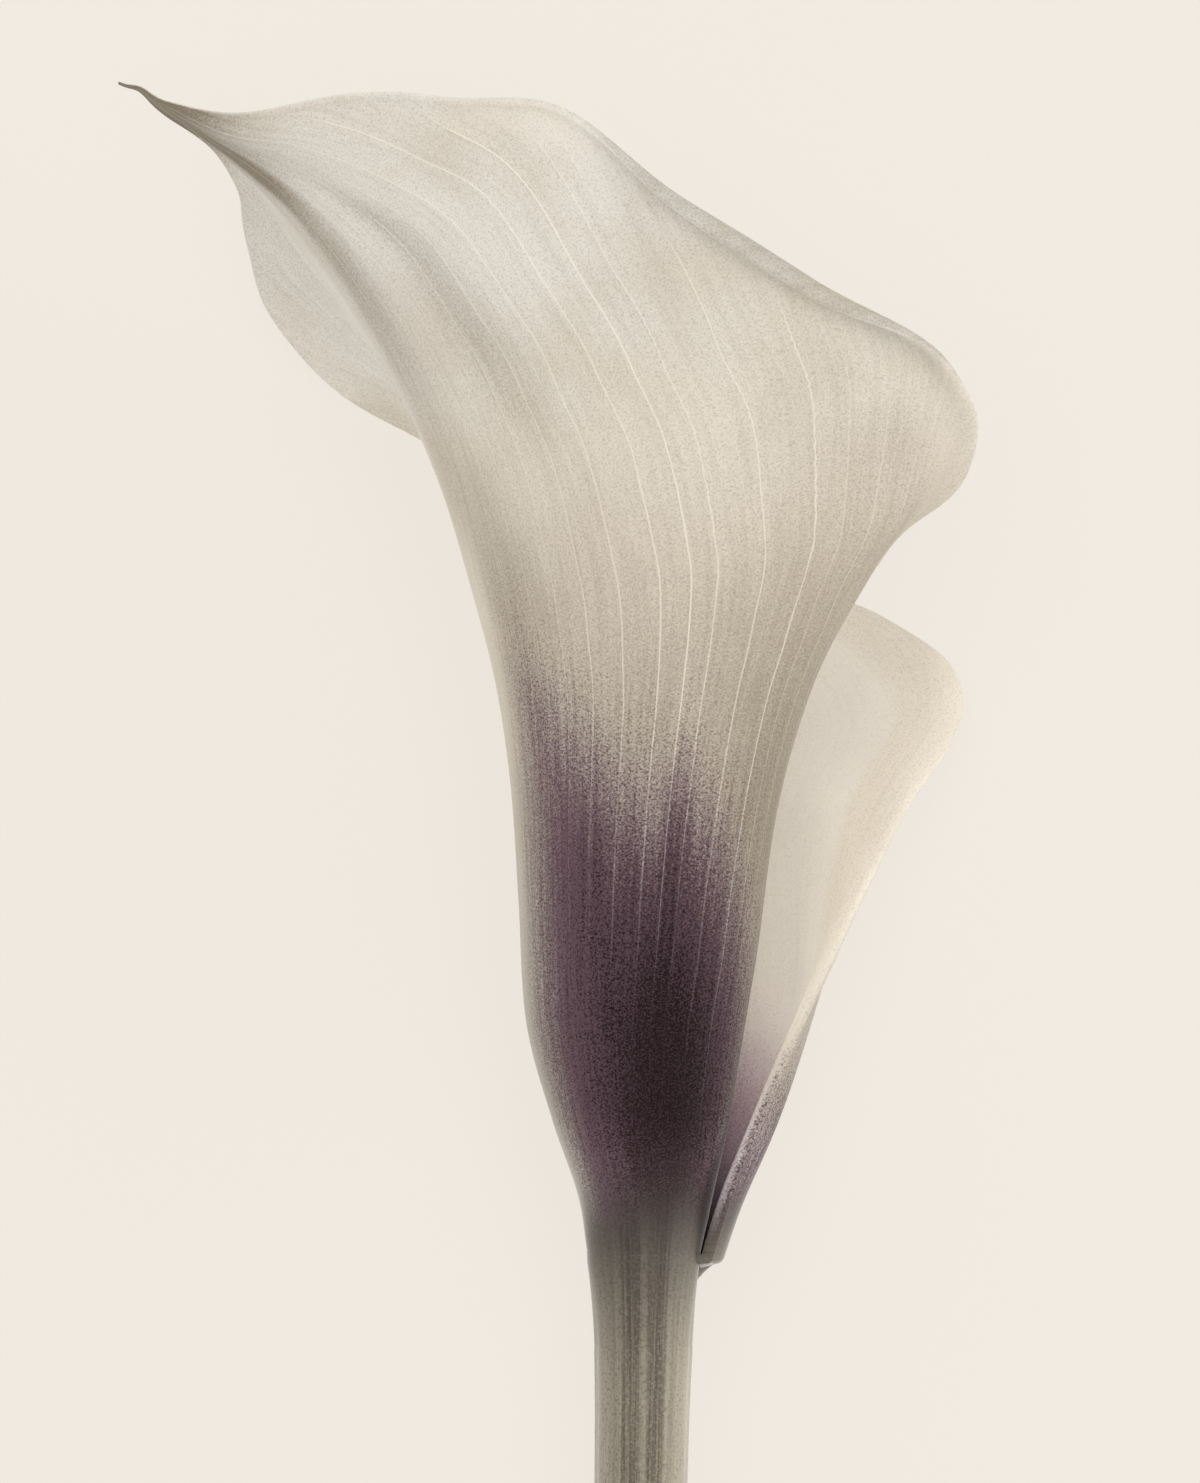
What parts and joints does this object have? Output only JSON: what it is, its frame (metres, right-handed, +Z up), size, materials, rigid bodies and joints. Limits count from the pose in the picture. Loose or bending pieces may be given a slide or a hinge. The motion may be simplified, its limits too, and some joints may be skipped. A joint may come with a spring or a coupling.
{
  "type": "calla lily flower",
  "caption": "Cut calla lily lying on its side: a pale funnel spathe with a pointed tip, rolled rim and dark purple throat round a floret-covered spadix, on a smooth ribbed stem.",
  "frame": {"origin": "middle of the bottom of the flower's box, on the surface that it lies on", "axes": "+Y from the cut end of the stem to the tip of the spathe, +X to the right across the open flower seen from above, +Z up from the surface"},
  "size_m": [0.0836, 0.288, 0.0649],
  "materials": {
    "spathe": "soft satin petal",
    "spadix": "matt and grainy",
    "stem": "soft satin"
  },
  "bodies": {
    "root": {"spathe": "spathe", "spadix": "spadix", "stem": "stem"}
  },
  "joints": []
}
